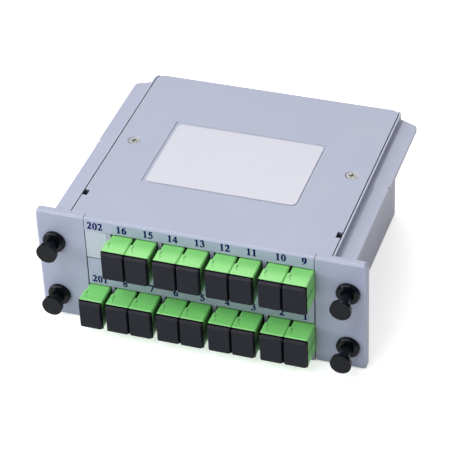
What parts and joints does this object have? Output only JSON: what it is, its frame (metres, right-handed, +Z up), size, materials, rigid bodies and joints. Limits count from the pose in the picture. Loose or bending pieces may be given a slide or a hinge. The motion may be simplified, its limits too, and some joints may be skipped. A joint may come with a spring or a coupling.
{
  "type": "plc fibre splitter",
  "caption": "Rack-mount PLC fibre splitter cassette with grey moulded housing, rows of green angled-contact adapters under black dust caps, numbered positions and push-pull latches in its ears.",
  "frame": {"origin": "under the centre of the whole part, in the plane of the tray's underside", "axes": "+X along the front panel towards the viewer's right, +Y from the front panel into the rack, +Z up from the tray's floor to the cover"},
  "size_m": [0.13, 0.112, 0.0492],
  "materials": {
    "housing": "satin",
    "label": "satin",
    "strip": "satin",
    "screw": "brushed",
    "adapter": "gloss",
    "cap": "satin",
    "latch": "gloss",
    "module": "satin",
    "boot": "matte",
    "fibre": "satin"
  },
  "bodies": {
    "housing": {"base_tray": "housing", "top_cover": "housing", "cover_label": "label", "cover_screws": "screw", "adapter_plate": "housing", "port_blank": "strip", "upper_port_label": "strip", "lower_port_label": "strip", "inner_plugs_lower": "adapter", "inner_plugs_upper": "adapter", "splitter_module": "module", "splitter_boots": "boot", "fibre_coil": "fibre", "adapter_01": "adapter", "adapter_02": "adapter", "adapter_03": "adapter", "adapter_04": "adapter", "adapter_05": "adapter", "adapter_06": "adapter", "adapter_07": "adapter", "adapter_08": "adapter", "adapter_09": "adapter", "adapter_10": "adapter", "adapter_11": "adapter", "adapter_12": "adapter", "adapter_13": "adapter", "adapter_14": "adapter", "adapter_15": "adapter", "adapter_16": "adapter", "adapter_201": "adapter", "grommet_left_lower": "latch", "grommet_left_upper": "latch", "grommet_right_lower": "latch", "grommet_right_upper": "latch"},
    "cap_01": {"dust_cap_01": "cap"},
    "cap_02": {"dust_cap_02": "cap"},
    "cap_03": {"dust_cap_03": "cap"},
    "cap_04": {"dust_cap_04": "cap"},
    "cap_05": {"dust_cap_05": "cap"},
    "cap_06": {"dust_cap_06": "cap"},
    "cap_07": {"dust_cap_07": "cap"},
    "cap_08": {"dust_cap_08": "cap"},
    "cap_09": {"dust_cap_09": "cap"},
    "cap_10": {"dust_cap_10": "cap"},
    "cap_11": {"dust_cap_11": "cap"},
    "cap_12": {"dust_cap_12": "cap"},
    "cap_13": {"dust_cap_13": "cap"},
    "cap_14": {"dust_cap_14": "cap"},
    "cap_15": {"dust_cap_15": "cap"},
    "cap_16": {"dust_cap_16": "cap"},
    "cap_201": {"dust_cap_201": "cap"},
    "stem_left_lower": {"plunger_left_lower": "latch"},
    "stem_left_upper": {"plunger_left_upper": "latch"},
    "stem_right_lower": {"plunger_right_lower": "latch"},
    "stem_right_upper": {"plunger_right_upper": "latch"}
  },
  "joints": [
    {"name": "pull_cap_01", "type": "slide", "parent": "housing", "child": "cap_01", "axis": [0, -1, 0], "range_m": [0, 0.012]},
    {"name": "pull_cap_02", "type": "slide", "parent": "housing", "child": "cap_02", "axis": [0, -1, 0], "range_m": [0, 0.012]},
    {"name": "pull_cap_03", "type": "slide", "parent": "housing", "child": "cap_03", "axis": [0, -1, 0], "range_m": [0, 0.012]},
    {"name": "pull_cap_04", "type": "slide", "parent": "housing", "child": "cap_04", "axis": [0, -1, 0], "range_m": [0, 0.012]},
    {"name": "pull_cap_05", "type": "slide", "parent": "housing", "child": "cap_05", "axis": [0, -1, 0], "range_m": [0, 0.012]},
    {"name": "pull_cap_06", "type": "slide", "parent": "housing", "child": "cap_06", "axis": [0, -1, 0], "range_m": [0, 0.012]},
    {"name": "pull_cap_07", "type": "slide", "parent": "housing", "child": "cap_07", "axis": [0, -1, 0], "range_m": [0, 0.012]},
    {"name": "pull_cap_08", "type": "slide", "parent": "housing", "child": "cap_08", "axis": [0, -1, 0], "range_m": [0, 0.012]},
    {"name": "pull_cap_09", "type": "slide", "parent": "housing", "child": "cap_09", "axis": [0, -1, 0], "range_m": [0, 0.012]},
    {"name": "pull_cap_10", "type": "slide", "parent": "housing", "child": "cap_10", "axis": [0, -1, 0], "range_m": [0, 0.012]},
    {"name": "pull_cap_11", "type": "slide", "parent": "housing", "child": "cap_11", "axis": [0, -1, 0], "range_m": [0, 0.012]},
    {"name": "pull_cap_12", "type": "slide", "parent": "housing", "child": "cap_12", "axis": [0, -1, 0], "range_m": [0, 0.012]},
    {"name": "pull_cap_13", "type": "slide", "parent": "housing", "child": "cap_13", "axis": [0, -1, 0], "range_m": [0, 0.012]},
    {"name": "pull_cap_14", "type": "slide", "parent": "housing", "child": "cap_14", "axis": [0, -1, 0], "range_m": [0, 0.012]},
    {"name": "pull_cap_15", "type": "slide", "parent": "housing", "child": "cap_15", "axis": [0, -1, 0], "range_m": [0, 0.012]},
    {"name": "pull_cap_16", "type": "slide", "parent": "housing", "child": "cap_16", "axis": [0, -1, 0], "range_m": [0, 0.012]},
    {"name": "pull_cap_201", "type": "slide", "parent": "housing", "child": "cap_201", "axis": [0, -1, 0], "range_m": [0, 0.012]},
    {"name": "push_left_lower", "type": "slide", "parent": "housing", "child": "stem_left_lower", "axis": [0, 1, 0], "range_m": [0, 0.0035]},
    {"name": "push_left_upper", "type": "slide", "parent": "housing", "child": "stem_left_upper", "axis": [0, 1, 0], "range_m": [0, 0.0035]},
    {"name": "push_right_lower", "type": "slide", "parent": "housing", "child": "stem_right_lower", "axis": [0, 1, 0], "range_m": [0, 0.006]},
    {"name": "push_right_upper", "type": "slide", "parent": "housing", "child": "stem_right_upper", "axis": [0, 1, 0], "range_m": [0, 0.006]}
  ]
}
